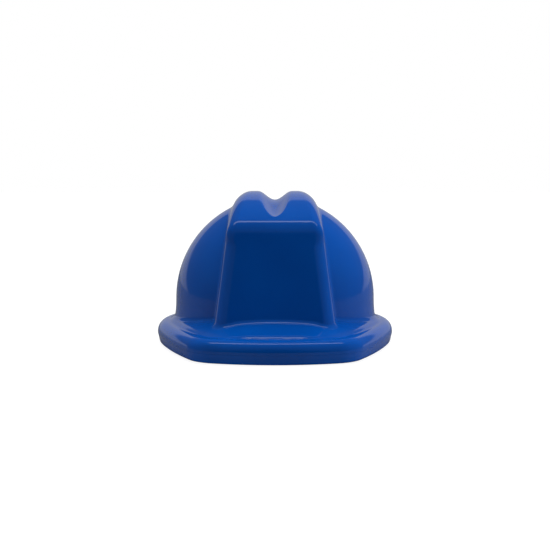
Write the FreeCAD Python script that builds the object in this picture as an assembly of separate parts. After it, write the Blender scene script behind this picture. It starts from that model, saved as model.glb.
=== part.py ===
import FreeCAD, Part
import math
import os

# A cap-style hard hat with a raised front panel, a two-lobed crown, a rolled brim and a
# ratchet suspension. Millimetres, +Z up, front towards -Y, standing on the brim ring at z = 0.

# Overall
length = 284.0
wall = 3.0
parting_z = 9.1

# Brim outline at its widest level, from the front centre to the widest point:
# (radius, turn in degrees) of each tangent arc. Two more arcs close it at the rear.
outline_arcs = [(175.0, 20.0), (40.0, 46.0), (520.0, 11.0), (175.0, 13.0)]
rear_turn = 45.0

# Brim section, measured inwards from the outline
roll_radius = 11.0
valley_inset = 12.5
deck_inset = 50.0
deck_z = 33.6
ring_width = 14.0
ring_inset = 2.0
ring_edge_radius = 1.5
ring_thickness = 5.5

# Dome
dome_y = 20.0
dome_z = 44.2
dome_half_width = 100.0
dome_half_length = 107.0
dome_rise = 101.2

# Crown lobes and the block that carries the front panel
lobe_rise = 107.3
lobe_reach = 138.0
lobe_drop = 26.0
lobe_rear = 85.0
side_half_width = 39.8
side_level = 152.0
side_draft = 0.1213
side_flare = 0.0258
corner_radius = 17.0
panel_corner_radius = 10.0
panel_base_y = -97.0
panel_base_z = 34.5
panel_top_y = -72.0
panel_top_z = 127.0
groove_half_width = 7.5
groove_rise = 99.3
groove_reach = 136.0
groove_end_y = -62.0
groove_end_radius = 14.0

# Sockets, keys and crown straps
key_angles = {"front_left": 215.0, "front_right": 325.0, "rear_right": 35.0, "rear_left": 145.0}
socket_inner = 92.6
socket_outer = 100.6
socket_width = 26.0
socket_bottom = 26.0
socket_top = 45.0
slot_inner = 94.4
slot_outer = 97.6
slot_width = 18.0
slot_top = 42.0
key_play = 0.3
key_bottom = 18.5
key_outer = 97.6
key_half_width = 12.0
key_bridge_top = 25.7
key_front_top = 42.0
strap_width = 19.0
strap_thickness = 1.2
strap_bend_z = 44.0
strap_gap = 0.5
strap_top_z = 118.0
patch_size = 34.0
patch_thickness = 1.6

# Headband: half an ellipse in front, a circle behind
band_y = 22.0
band_half_width = 80.0
band_front_reach = 108.0
band_thickness = 1.5
band_bottom = 8.0
band_top = 44.0
band_tail_angle = 52.0
stud_z = 36.0
stud_radius = 2.2
stud_head_radius = 4.0
stud_end = 92.3
brow_thickness = 3.6
brow_bottom = 9.5
brow_top = 42.5
brow_angle = 46.0

# Ratchet
knob_z = 20.0
pinion_teeth = 10
pinion_pitch_radius = 6.0
tooth_addendum = 1.1
tooth_dedendum = 1.4
tooth_width = 1.4
tooth_slope = 0.36
arm_layers = {"left": (82.0, 83.4), "right": (83.7, 85.1)}
arm_half_height = 9.5
window_half_height = 7.6
arm_outer_angle = 80.0
arm_inner_angle = 24.0
window_angle = 20.5
housing_angle = 25.0
housing_outer = 87.3
housing_half_height = 12.1
cover_inner = 80.0
cover_thickness = 1.7
boss_radius = 15.5
boss_end_y = 111.5
ring_recess_depth = 2.2
detent_outer = 13.2
detent_inner = 11.4
detent_teeth = 24
knob_radius = 14.0
knob_start_y = 111.8
knob_end_y = 120.8
knob_ribs = 18
spindle_radius = 3.6
running_gap = 0.05
screw_radius = 1.5
pad_thickness = 4.2
pad_angle = 22.0
guide_angle = 66.0
guide_half_angle = 3.5

up = FreeCAD.Vector(0, 0, 1)
out = FreeCAD.Vector(0, 1, 0)


def vec(x, y, z=0.0):
    return FreeCAD.Vector(x, y, z)


def face_of(points, curves=None):
    """A flat face through points; curves maps an edge number to the middle point of its arc."""
    edges = []
    for i, start in enumerate(points):
        end = points[(i + 1) % len(points)]
        if curves and i in curves:
            edges.append(Part.Arc(start, curves[i], end).toShape())
        else:
            edges.append(Part.LineSegment(start, end).toShape())
    return Part.Face(Part.Wire(edges))


def fused(shapes):
    whole = shapes[0].multiFuse(shapes[1:])
    return whole.removeSplitter()


def mirrored(shape):
    return shape.mirror(vec(0, 0), vec(1, 0))


def save(name, shape):
    print(name, len(shape.Solids), shape.isValid(), round(shape.Volume / 1000.0, 2))
    shape.exportStep("parts/" + name + ".step")


# Brim

def half_outline():
    """Arcs of the right half: (centre x, centre y, radius, start angle, end angle)."""
    x, y, heading = 0.0, -length / 2, 0.0
    arcs = list(outline_arcs)
    for radius, turn in arcs:
        x, y, heading = walk(x, y, heading, radius, turn)
    c, s = math.cos(math.radians(rear_turn)), math.sin(math.radians(rear_turn))
    ahead, aside = length / 2 - y, x
    # side * s + rear * (1 - s) = ahead and side * (1 - c) + rear * c = aside
    det = s * c - (1 - s) * (1 - c)
    side = (ahead * c - aside * (1 - s)) / det
    rear = (s * aside - (1 - c) * ahead) / det
    arcs += [(side, rear_turn), (rear, 90.0 - rear_turn)]
    x, y, heading = 0.0, -length / 2, 0.0
    result = []
    for radius, turn in arcs:
        angle = math.radians(heading)
        result.append((x - radius * math.sin(angle), y + radius * math.cos(angle), radius,
                       heading - 90.0, heading - 90.0 + turn))
        x, y, heading = walk(x, y, heading, radius, turn)
    return result


def walk(x, y, heading, radius, turn):
    before, after = math.radians(heading), math.radians(heading + turn)
    x += radius * (math.sin(after) - math.sin(before))
    y += radius * (math.cos(before) - math.cos(after))
    return x, y, heading + turn


def circle_z(centre_d, centre_z, radius, d):
    return centre_z + math.sqrt(radius ** 2 - (d - centre_d) ** 2)


def deck_circle():
    """Centre height and radius of the arc that crowns the deck, flat at deck_inset."""
    run = deck_inset - valley_inset
    rise = deck_z - circle_z(roll_radius, roll_radius, roll_radius, valley_inset)
    radius = (run ** 2 + rise ** 2) / (2 * rise)
    return deck_z - radius, radius


def crease(inner_roll, inner_deck, centre_z):
    """Where the inner circle of the roll meets the inner circle of the deck."""
    dx, dz = deck_inset - roll_radius, centre_z - roll_radius
    gap = math.hypot(dx, dz)
    along = (gap ** 2 + inner_roll ** 2 - inner_deck ** 2) / (2 * gap)
    aside = math.sqrt(inner_roll ** 2 - along ** 2)
    return (roll_radius + (along * dx - aside * dz) / gap,
            roll_radius + (along * dz + aside * dx) / gap)


def swept(section):
    """Turn section(limit) about every arc of the outline, both sides, as one solid."""
    pieces = []
    for cx, cy, radius, start, end in half_outline():
        points, curves = section(min(deck_inset, radius))
        placed = [vec(cx + radius - d, cy, z) for d, z in points]
        middles = {i: vec(cx + radius - d, cy, z) for i, (d, z) in curves.items()}
        face = face_of(placed, middles)
        face.rotate(vec(cx, cy), up, start)
        piece = face.revolve(vec(cx, cy), up, end - start)
        pieces.append(piece)
        pieces.append(mirrored(piece))
    return fused(pieces)


def sheet_section(limit):
    centre_z, radius = deck_circle()
    inner_roll, inner_deck = roll_radius - wall, radius - wall
    outer_start = roll_radius - math.sqrt(roll_radius ** 2 - (roll_radius - parting_z) ** 2)
    inner_start = roll_radius - math.sqrt(inner_roll ** 2 - (roll_radius - parting_z) ** 2)
    valley = (valley_inset, circle_z(roll_radius, roll_radius, roll_radius, valley_inset))
    fold = crease(inner_roll, inner_deck, centre_z)
    slant = math.sqrt(0.5)
    middle = (valley_inset + limit) / 2
    points = [(outer_start, parting_z), valley,
              (limit, circle_z(deck_inset, centre_z, radius, limit)),
              (limit, circle_z(deck_inset, centre_z, inner_deck, limit)),
              fold, (inner_start, parting_z)]
    curves = {0: (roll_radius * (1 - slant), roll_radius * (1 + slant)),
              1: (middle, circle_z(deck_inset, centre_z, radius, middle)),
              3: (middle, circle_z(deck_inset, centre_z, inner_deck, middle)),
              4: (roll_radius - inner_roll * slant, roll_radius + inner_roll * slant)}
    return points, curves


def below_deck_section(limit):
    centre_z, radius = deck_circle()
    radius -= wall / 2
    start = valley_inset + 0.5
    middle = (start + limit) / 2
    points = [(start, -20.0), (start, circle_z(deck_inset, centre_z, radius, start)),
              (limit, circle_z(deck_inset, centre_z, radius, limit)), (limit, -20.0)]
    return points, {1: (middle, circle_z(deck_inset, centre_z, radius, middle))}


def ring_section(limit):
    """The lower band: outer lip, flat foot and a tongue that stands inside the roll."""
    lip = roll_radius - math.sqrt(roll_radius ** 2 - (roll_radius - parting_z) ** 2)
    foot = ring_inset + ring_edge_radius
    slant = ring_edge_radius * (1 - math.sqrt(0.5))
    tongue = roll_radius - (roll_radius - wall) + 0.6
    points = [(lip, parting_z), (ring_inset, ring_edge_radius), (foot, 0.0),
              (ring_width, 0.0), (ring_width, ring_thickness), (tongue + 2.4, ring_thickness),
              (tongue + 2.0, parting_z + 3.0), (tongue, parting_z + 3.0), (tongue, parting_z)]
    return points, {1: (ring_inset + slant, slant)}


# Shell

def dome(inset, bottom):
    """Half an ellipsoid on an elliptic skirt, inset by the wall for the inside."""
    a, b, c = dome_half_width - inset, dome_half_length - inset, dome_rise - inset
    slant = c * math.sqrt(0.5)
    points = [vec(0, 0, bottom), vec(c, 0, bottom), vec(c, 0, dome_z), vec(0, 0, dome_z + c)]
    profile = face_of(points, {2: vec(slant, 0, dome_z + slant)})
    body = profile.revolve(vec(0, 0), up, 360.0)
    stretch = FreeCAD.Matrix()
    stretch.scale(vec(a / c, b / c, 1))
    body = body.transformGeometry(stretch)
    body.translate(vec(0, dome_y))
    return body


def crest_z(y):
    """Height of the lobes along the hat: an ellipse in front, sinking into the dome behind."""
    if y <= dome_y:
        return dome_z + lobe_rise * math.sqrt(1 - ((dome_y - y) / lobe_reach) ** 2)
    back = (y - dome_y) / dome_half_length
    fade = ((y - dome_y) / lobe_rear) ** 2
    return dome_z + dome_rise * math.sqrt(1 - back ** 2) + lobe_rise - dome_rise - lobe_drop * fade


def lobe_wire(y, inset, bottom):
    top = crest_z(y) - inset
    turn = min(1.0, max(0.0, (y - panel_top_y) / (dome_y - panel_top_y)))
    radius = panel_corner_radius + turn * (corner_radius - panel_corner_radius) - inset
    slope = math.atan(side_draft)
    reach = side_half_width + side_flare * (dome_y - y) - inset / math.cos(slope)
    # centre of the corner arc, tangent to the flat crest and to the drafted side
    cx = reach + side_draft * (side_level - top + radius) - radius / math.cos(slope)
    cz = top - radius
    half = (slope + math.pi / 2) / 2
    side = vec(cx + radius * math.cos(slope), y, cz + radius * math.sin(slope))
    middle = vec(cx + radius * math.cos(half), y, cz + radius * math.sin(half))
    foot = vec(reach + side_draft * (side_level - bottom), y, bottom)
    crest = vec(cx, y, top)
    flip = [vec(-p.x, p.y, p.z) for p in (foot, side, middle, crest)]
    edges = [Part.LineSegment(flip[0], foot).toShape(), Part.LineSegment(foot, side).toShape(),
             Part.Arc(side, middle, crest).toShape(), Part.LineSegment(crest, flip[3]).toShape(),
             Part.Arc(flip[3], flip[2], flip[1]).toShape(),
             Part.LineSegment(flip[1], flip[0]).toShape()]
    return Part.Wire(edges)


def panel_cut(inset):
    """Everything in front of the leaning panel face."""
    lean = math.degrees(math.atan2(panel_top_y - panel_base_y, panel_top_z - panel_base_z))
    block = Part.makeBox(300, 200, 400, vec(-150, -200, -200))
    block.rotate(vec(0, 0), vec(1, 0), -lean)
    block.translate(vec(0, panel_base_y + inset / math.cos(math.radians(lean)), panel_base_z))
    return block


def lobes(inset, bottom):
    stations = [-108.0 + 16.0 * i for i in range(9)] + [38.0, 56.0, 74.0, 92.0, 108.0]
    wires = [lobe_wire(y, inset, bottom) for y in stations]
    body = Part.makeLoft(wires, True, False)
    body = body.cut(panel_cut(inset))
    return body


def groove(inset):
    """The channel between the lobes, rounded at its front end."""
    rise, reach = groove_rise - inset, groove_reach - inset
    end_y = groove_end_y - inset
    points = []
    for step in range(9):
        y = groove_end_y + groove_end_radius + step * (100.0 - groove_end_y - groove_end_radius) / 8
        span = reach if y < dome_y else dome_half_length + 4.0
        points.append(vec(-groove_half_width - inset, y,
                          dome_z + rise * math.sqrt(1 - ((dome_y - y) / span) ** 2)))
    floor = Part.BSplineCurve()
    floor.interpolate(points)
    x = -groove_half_width - inset
    high = vec(x, end_y, crest_z(groove_end_y) + 1.0 - inset)
    first, last = points[0], points[-1]
    bend = vec(x, (end_y + first.y) / 2 - 3.0, (high.z + first.z) / 2 - 2.5)
    corners = [last, vec(x, last.y, 220.0), vec(x, end_y, 220.0), high]
    edges = [floor.toShape(), Part.Arc(high, bend, first).toShape()]
    edges += [Part.LineSegment(p, q).toShape() for p, q in zip(corners, corners[1:])]
    face = Part.Face(Part.Wire(Part.sortEdges(edges)[0]))
    return face.extrude(vec(2 * (groove_half_width + inset), 0))


def around(angle, low, high, half, bottom, top):
    """A box from radius low to high at an angle about the dome's axis."""
    box = Part.makeBox(high - low, 2 * half, top - bottom, vec(low, -half, bottom))
    box.rotate(vec(0, 0), up, angle)
    box.translate(vec(0, dome_y))
    return box


def make_shell():
    outer = dome(0.0, 15.0).fuse(lobes(0.0, 15.0)).cut(groove(0.0))
    inner = dome(wall, -20.0).fuse(lobes(wall, -20.0)).cut(groove(wall))
    walls = outer.cut(inner).cut(swept(below_deck_section))
    sheet = swept(sheet_section).cut(inner)
    shell = walls.fuse(sheet)
    for angle in key_angles.values():
        socket = around(angle, socket_inner, socket_outer, socket_width / 2, socket_bottom, socket_top)
        slot = around(angle, slot_inner, slot_outer, slot_width / 2, socket_bottom - 1.0, slot_top)
        shell = shell.fuse(socket.cut(slot))
    return shell.removeSplitter()


# Suspension

def sector(inner, outer, bottom, top, start, end):
    """Part of a ring about the vertical axis through the middle of the headband."""
    ring = Part.makeCylinder(outer, top - bottom, vec(0, 0, bottom), up, end - start)
    ring = ring.cut(Part.makeCylinder(inner, top - bottom, vec(0, 0, bottom)))
    ring.rotate(vec(0, 0), up, start)
    ring.translate(vec(0, band_y))
    return ring


def oval(offset, bottom, top):
    """A prism over the front ellipse of the headband, its wall moved outwards by offset."""
    a, b = band_half_width + offset, band_front_reach + offset
    ellipse = Part.Ellipse(vec(0, b, bottom), vec(a, 0, bottom), vec(0, 0, bottom))
    prism = Part.Face(Part.Wire([ellipse.toShape()])).extrude(vec(0, 0, top - bottom))
    prism.translate(vec(0, band_y))
    return prism


def front_half(shape):
    return shape.common(Part.makeBox(400, 200, 400, vec(-200, band_y - 200, -200)))


def stud(angle):
    """A snap stud from inside the headband to the front plate of a key."""
    sign = -1 if angle > 180.0 else 1
    reach = band_front_reach if sign < 0 else band_half_width
    c, s = math.cos(math.radians(angle)), math.sin(math.radians(angle))
    start = 1 / math.hypot(c / band_half_width, s / reach) + (band_y - dome_y) * s - 1.2
    turned = vec(c, s)
    base = vec(c * start, dome_y + s * start, stud_z)
    head = Part.makeCylinder(stud_head_radius, 1.4, base, turned)
    return head.fuse(Part.makeCylinder(stud_radius, stud_end - start, base, turned)).removeSplitter()


def key(angle):
    """A plug that stands in its socket, with a front plate that takes strap and headband."""
    plug = around(angle, slot_inner + key_play, slot_outer - key_play, slot_width / 2 - key_play,
                  key_bottom, slot_top - 0.5)
    bridge = around(angle, strap_outer(), key_outer, key_half_width, key_bottom, key_bridge_top)
    plate = around(angle, strap_outer(), socket_inner - key_play, key_half_width, key_bottom,
                   key_front_top)
    return fused([plug, bridge, plate]).cut(stud(angle))


def strap_outer():
    return socket_inner - key_play - 1.3


def strap(angle, rise):
    """A flat webbing strap from key to key over the head, as an ellipse on two straight legs."""
    loops = []
    for inset in (0.0, strap_thickness):
        a, c = strap_outer() - inset, strap_top_z + rise - strap_bend_z - inset
        ellipse = Part.Ellipse(vec(a, 0), vec(0, c), vec(0, 0))
        arch = Part.Face(Part.Wire([ellipse.toShape()])).extrude(vec(0, 0, strap_width))
        leg = Part.makeBox(2 * a, 2 * c, strap_width, vec(-a, -2 * c, 0))
        loops.append(fused([arch.common(Part.makeBox(400, 200, 100, vec(-200, 0, 0))), leg]))
    band = loops[0].cut(loops[1])
    drop = strap_bend_z - key_bottom
    band = band.common(Part.makeBox(400, 300, 100, vec(-200, -drop, 0)))
    band.translate(vec(0, 0, -strap_width / 2))
    band.rotate(vec(0, 0), vec(1, 0), 90)
    band.rotate(vec(0, 0), up, angle)
    band.translate(vec(0, dome_y, strap_bend_z))
    return band.cut(stud(angle)).cut(stud(angle + 180.0))


def crown_patch():
    top = strap_top_z + strap_thickness + strap_gap + 0.1
    half = patch_size / 2
    return Part.makeBox(patch_size, patch_size, patch_thickness, vec(-half, dome_y - half, top))


def headband():
    ring = oval(band_thickness, band_bottom, band_top).cut(oval(0.0, band_bottom, band_top))
    outer = band_half_width + band_thickness
    tails = [sector(band_half_width, outer, band_bottom, band_top, 0.0, 90.0 - band_tail_angle),
             sector(band_half_width, outer, band_bottom, band_top, 90.0 + band_tail_angle, 180.0)]
    band = fused([front_half(ring)] + tails)
    for angle in key_angles.values():
        band = band.cut(stud(angle))
    return band


def brow_pad():
    ring = oval(-0.1, brow_bottom, brow_top).cut(oval(-0.1 - brow_thickness, brow_bottom, brow_top))
    wedge = sector(1.0, 200.0, brow_bottom, brow_top, 270.0 - brow_angle, 270.0 + brow_angle)
    return ring.common(wedge)


# Ratchet

def spun(shape):
    """Stand a shape built about +Z on the knob's axis, with its +Z along +Y."""
    shape.rotate(vec(0, 0), vec(1, 0), -90)
    shape.translate(vec(0, 0, knob_z))
    return shape


def disc(radius, start_y, end_y, hole=0.0):
    body = Part.makeCylinder(radius, end_y - start_y, vec(0, 0, start_y))
    if hole:
        body = body.cut(Part.makeCylinder(hole, end_y - start_y, vec(0, 0, start_y)))
    return body


def tooth(depth, low, high):
    """A straight-sided tooth pointing along +Y, from low below its pitch line to high above."""
    wide, narrow = tooth_width / 2 + tooth_slope * low, tooth_width / 2 - tooth_slope * high
    outline = [vec(-wide, -low), vec(wide, -low), vec(narrow, high), vec(-narrow, high)]
    return face_of(outline).extrude(vec(0, 0, depth))


def pinion_gear():
    start, end = band_y + arm_layers["left"][0] - 0.1, band_y + arm_layers["right"][1] - 0.2
    root = pinion_pitch_radius - tooth_dedendum
    teeth = []
    for index in range(pinion_teeth):
        one = tooth(end - start, tooth_dedendum + 0.3, tooth_addendum)
        one.translate(vec(0, pinion_pitch_radius, start))
        one.rotate(vec(0, 0), up, 360.0 * index / pinion_teeth)
        teeth.append(one)
    return spun(fused([disc(root, start, end)] + teeth).cut(disc(spindle_radius - 1.0, start, end)))


def rack_arm(side):
    """A curved arm with a window; one long edge of the window is a rack."""
    inner, outer = arm_layers[side]
    turn = 1 if side == "left" else -1
    low, high = sorted((90.0 - turn * arm_inner_angle, 90.0 + turn * arm_outer_angle))
    arm = sector(inner, outer, knob_z - arm_half_height, knob_z + arm_half_height, low, high)
    rack_edge = pinion_pitch_radius + tooth_dedendum
    bottom = knob_z - (window_half_height if side == "left" else rack_edge)
    top = knob_z + (rack_edge if side == "left" else window_half_height)
    arm = arm.cut(sector(inner - 1, outer + 1, bottom, top, 90.0 - window_angle, 90.0 + window_angle))
    step = math.degrees(2 * math.pi * pinion_pitch_radius / pinion_teeth / ((inner + outer) / 2))
    count = int(window_angle / step)
    teeth = []
    for index in range(-count, count):
        one = tooth(outer - inner, tooth_dedendum + 0.2, tooth_addendum)
        one.rotate(vec(0, 0), vec(1, 0), -90)
        if side == "right":
            one.rotate(vec(0, 0), vec(0, 1), 180)
        one.translate(vec(0, inner, turn * pinion_pitch_radius))
        one.rotate(vec(0, 0), up, (index + 0.5) * step)
        one.translate(vec(0, band_y, knob_z))
        teeth.append(one)
    return fused([arm] + teeth)


def ratchet_housing():
    inner = cover_inner + cover_thickness + 0.1
    bottom, top = knob_z - housing_half_height, knob_z + housing_half_height
    start, end = 90.0 - housing_angle, 90.0 + housing_angle
    body = sector(inner, housing_outer, bottom, top, start, end)
    boss = spun(disc(boss_radius, band_y + housing_outer - 3.0, boss_end_y))
    channel = sector(inner - 1.0, arm_layers["right"][1] + 0.3, knob_z - arm_half_height - 0.4,
                     knob_z + arm_half_height + 0.4, start - 1.0, end + 1.0)
    recess = spun(disc(detent_outer + 0.05, boss_end_y - ring_recess_depth, boss_end_y + 1.0))
    bearing = spun(disc(spindle_radius + running_gap, band_y + 80.0, boss_end_y))
    return body.fuse(boss).cut(channel).cut(recess).cut(bearing).removeSplitter()


def housing_cover():
    cover = sector(cover_inner, cover_inner + cover_thickness + 0.1, knob_z - housing_half_height,
                   knob_z + housing_half_height, 90.0 - housing_angle, 90.0 + housing_angle)
    return cover.cut(spun(disc(spindle_radius, band_y + 70.0, band_y + 90.0)))


def detent_ring():
    start = boss_end_y - ring_recess_depth
    end = boss_end_y - 0.3
    pieces = [disc(detent_outer, start, end, detent_inner)]
    for index in range(detent_teeth):
        point = face_of([vec(-0.7, detent_inner + 0.2), vec(0.7, detent_inner + 0.2),
                         vec(0.0, detent_inner - 1.0)]).extrude(vec(0, 0, end - start))
        point.translate(vec(0, 0, start))
        point.rotate(vec(0, 0), up, 360.0 * index / detent_teeth)
        pieces.append(point)
    return spun(fused(pieces))


def detent_spring():
    """Two curved spring arms on a hub that turns with the knob."""
    start, end = boss_end_y - ring_recess_depth + 0.2, boss_end_y - 0.4
    pieces = [disc(spindle_radius + 2.0, start, end, spindle_radius)]
    for turn in (0.0, 180.0):
        spoke = Part.makeBox(4.2, 2.0, end - start, vec(4.6, -1.0, start))
        arm = Part.makeCylinder(8.8, end - start, vec(0, 0, start), up, 110.0)
        arm = arm.cut(disc(7.6, start, end))
        tip = Part.makeCylinder(1.0, end - start, vec(8.9, 0, start))
        tip.rotate(vec(0, 0), up, 105.0)
        piece = fused([spoke, arm, tip])
        piece.rotate(vec(0, 0), up, turn)
        pieces.append(piece)
    return spun(fused(pieces))


def adjust_knob():
    pinion_start = band_y + arm_layers["left"][0] - 0.1
    pinion_end = band_y + arm_layers["right"][1] - 0.2
    grip = disc(knob_radius - 1.2, knob_start_y, knob_end_y)
    ribs = []
    for index in range(knob_ribs):
        rib = Part.makeCylinder(1.3, knob_end_y - knob_start_y - 1.0,
                                vec(knob_radius - 1.3, 0, knob_start_y))
        rib.rotate(vec(0, 0), up, 360.0 * index / knob_ribs)
        ribs.append(rib)
    spindle = disc(spindle_radius, pinion_end, knob_start_y)
    seat = disc(spindle_radius - 1.0, pinion_start, pinion_end)
    body = fused([grip, spindle, seat] + ribs)
    return spun(body.cut(disc(screw_radius, pinion_start, pinion_start + 12.0)))


def knob_screw():
    start = band_y + arm_layers["left"][0] - 0.1
    head = disc(spindle_radius - 0.4, start - 1.3, start)
    return spun(head.fuse(disc(screw_radius, start, start + 11.0)).removeSplitter())


def nape_pad():
    return sector(cover_inner - 0.1 - pad_thickness, cover_inner - 0.1,
                  knob_z - housing_half_height, knob_z + housing_half_height,
                  90.0 - pad_angle, 90.0 + pad_angle)


def arm_guide(side):
    """A loop on the tail of the headband that the rack arm slides through."""
    middle = 90.0 + (guide_angle if side == "left" else -guide_angle)
    start, end = middle - guide_half_angle, middle + guide_half_angle
    inner = band_half_width + band_thickness
    loop = sector(inner, arm_layers["right"][1] + 1.6, knob_z - arm_half_height - 2.4,
                  knob_z + arm_half_height + 2.4, start, end)
    return loop.cut(sector(inner - 1, arm_layers["right"][1] + 0.4, knob_z - arm_half_height - 0.4,
                           knob_z + arm_half_height + 0.4, start - 1, end + 1))


def main():
    os.makedirs("parts", exist_ok=True)
    save("shell", make_shell())
    save("brim_ring", swept(ring_section))
    for name, angle in key_angles.items():
        save(name + "_key", key(angle))
    save("crown_strap_left", strap(key_angles["rear_right"], 0.0))
    save("crown_strap_right", strap(key_angles["rear_left"], strap_thickness + strap_gap))
    save("crown_patch", crown_patch())
    save("headband", headband())
    save("headband_studs", Part.makeCompound([stud(angle) for angle in key_angles.values()]))
    save("brow_pad", brow_pad())
    for side in arm_layers:
        save(side + "_arm_guide", arm_guide(side))
        save(side + "_rack_arm", rack_arm(side))
    save("ratchet_housing", ratchet_housing())
    save("housing_cover", housing_cover())
    save("nape_pad", nape_pad())
    save("detent_ring", detent_ring())
    save("detent_spring", detent_spring())
    save("pinion_gear", pinion_gear())
    save("adjust_knob", adjust_knob())
    save("knob_screw", knob_screw())


main()
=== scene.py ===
import math

import bmesh
import bpy
import numpy as np
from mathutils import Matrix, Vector


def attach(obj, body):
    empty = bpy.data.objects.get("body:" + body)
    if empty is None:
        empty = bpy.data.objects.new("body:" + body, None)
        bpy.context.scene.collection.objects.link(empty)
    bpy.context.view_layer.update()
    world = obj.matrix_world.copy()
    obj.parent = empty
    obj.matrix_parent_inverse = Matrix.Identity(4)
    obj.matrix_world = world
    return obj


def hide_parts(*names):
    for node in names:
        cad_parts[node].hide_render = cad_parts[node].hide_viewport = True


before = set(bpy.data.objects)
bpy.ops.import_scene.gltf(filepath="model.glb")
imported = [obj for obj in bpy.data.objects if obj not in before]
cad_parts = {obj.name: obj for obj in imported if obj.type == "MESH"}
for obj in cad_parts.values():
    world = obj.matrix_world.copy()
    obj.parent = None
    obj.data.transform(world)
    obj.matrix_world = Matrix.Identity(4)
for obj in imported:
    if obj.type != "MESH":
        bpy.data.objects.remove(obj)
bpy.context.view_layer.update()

mm = 0.001


# plan outline of the brim

outline = {
    "length": 284.0,
    "arcs": [(175.0, 20.0), (40.0, 46.0), (520.0, 11.0), (175.0, 13.0)],  # radius and turn
    "rearTurn": 45.0,
}


def laidOut(arcs):
    # centre x and y, radius, start angle and turn of each arc, then where the last one ends
    x, y, heading, found = 0.0, -outline["length"] / 2, 0.0, []
    for radius, turn in arcs:
        before, after = math.radians(heading), math.radians(heading + turn)
        cx, cy = x - radius * math.sin(before), y + radius * math.cos(before)
        found.append((cx, cy, radius, heading - 90.0, turn))
        x, y, heading = cx + radius * math.sin(after), cy - radius * math.cos(after), heading + turn
    return found, x, y


def halfOutline():
    # the right-hand side, closed at the rear by two arcs that meet the middle line squarely
    arcs, rearTurn = list(outline["arcs"]), outline["rearTurn"]
    aside, y = laidOut(arcs)[1:]
    ahead = outline["length"] / 2 - y
    c, s = math.cos(math.radians(rearTurn)), math.sin(math.radians(rearTurn))
    det = s * c - (1 - s) * (1 - c)
    arcs.append(((ahead * c - aside * (1 - s)) / det, rearTurn))
    arcs.append(((s * aside - (1 - c) * ahead) / det, 90.0 - rearTurn))
    return laidOut(arcs)[0]


outlineArcs = halfOutline()


def insetFrom(x, y):
    # how far a point lies inside the outline, negative outside
    x = np.abs(x)
    best = np.full(np.shape(x), 1e6)
    for cx, cy, radius, start, turn in outlineArcs:
        angle = np.degrees(np.arctan2(y - cy, x - cx))
        turned = np.mod(angle - start + 1e-6, 360.0)
        away = radius - np.hypot(x - cx, y - cy)
        best = np.where(turned <= turn + 2e-6, np.minimum(best, away), best)
    return best


def outlineStations(spacing):
    # points on the outline with their outward directions, once round, evenly along each arc
    right = []
    for cx, cy, radius, start, turn in outlineArcs:
        count = max(3, int(round(math.radians(turn) * radius / spacing)))
        for i in range(count):
            angle = math.radians(start + turn * i / count)
            right.append((cx + radius * math.cos(angle), cy + radius * math.sin(angle),
                          math.cos(angle), math.sin(angle)))
    rear = (0.0, outline["length"] / 2, 0.0, 1.0)
    left = [(-x, y, -nx, ny) for x, y, nx, ny in reversed(right[1:])]
    return right + [rear] + left


# mesh and node helpers

def newObject(name, data):
    obj = bpy.data.objects.new(name, data)
    bpy.context.scene.collection.objects.link(obj)
    return obj


def meshObject(name, points, faces, scale=mm):
    mesh = bpy.data.meshes.new(name)
    points = np.asarray(points, dtype=float) * scale
    faces = [tuple(int(i) for i in face) for face in faces]
    mesh.from_pydata(points.tolist(), [], faces)
    mesh.validate()
    mesh.shade_smooth()
    return newObject(name, mesh)


def finishPiece(obj, material, body, slot, *nodes):
    obj.data.materials.clear()
    obj.data.materials.append(material)
    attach(obj, body)
    if nodes:
        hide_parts(*nodes)
    return obj


def newMaterial(name):
    material = bpy.data.materials.new(name)
    material.use_nodes = True
    tree = material.node_tree
    return material, tree, tree.nodes["Principled BSDF"]


def addNode(tree, kind, **settings):
    node = tree.nodes.new(kind)
    for key, value in settings.items():
        if key in node.inputs.keys():
            node.inputs[key].default_value = value
        else:
            setattr(node, key, value)
    return node


def newGroup(name, inputs, outputs):
    # a group of nodes whose sockets are all plain numbers
    group = bpy.data.node_groups.new(name, "ShaderNodeTree")
    kind = "NodeSocketFloat"
    for label, value in inputs.items():
        group.interface.new_socket(name=label, in_out="INPUT", socket_type=kind).default_value = value
    for label in outputs:
        group.interface.new_socket(name=label, in_out="OUTPUT", socket_type=kind)
    return group, group.nodes.new("NodeGroupInput"), group.nodes.new("NodeGroupOutput")


def placeGroup(tree, group, **values):
    return addNode(tree, "ShaderNodeGroup", node_tree=group, **values)


def colourOf(red, green, blue):
    # a screen colour, 0 to 255, as linear light
    return tuple(((c / 255 + 0.055) / 1.055) ** 2.4 if c > 10 else c / 255 / 12.92
                 for c in (red, green, blue)) + (1.0,)


def feed(tree, value, socket):
    # link another node's output, or set a plain number or colour
    if isinstance(value, bpy.types.NodeSocket):
        tree.links.new(value, socket)
    else:
        socket.default_value = value


def mathNode(tree, operation, *values, clamp=False):
    node = addNode(tree, "ShaderNodeMath", operation=operation, use_clamp=clamp)
    for value, socket in zip(values, node.inputs):
        feed(tree, value, socket)
    return node.outputs[0]


def rangeNode(tree, value, start=(0.0, 1.0), end=(0.0, 1.0), kind="LINEAR"):
    node = addNode(tree, "ShaderNodeMapRange", interpolation_type=kind)
    feed(tree, value, node.inputs["Value"])
    for label, number in zip(("From Min", "From Max", "To Min", "To Max"), (*start, *end)):
        feed(tree, number, node.inputs[label])
    return node.outputs[0]


def mixNode(tree, share, first, second):
    node = addNode(tree, "ShaderNodeMix", data_type="RGBA")
    for value, socket in ((share, 0), (first, 6), (second, 7)):
        feed(tree, value, node.inputs[socket])
    return node.outputs[2]


def noiseNode(tree, **settings):
    node = addNode(tree, "ShaderNodeTexNoise", **settings)
    feed(tree, addNode(tree, "ShaderNodeTexCoord").outputs["Object"], node.inputs["Vector"])
    return node


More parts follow.
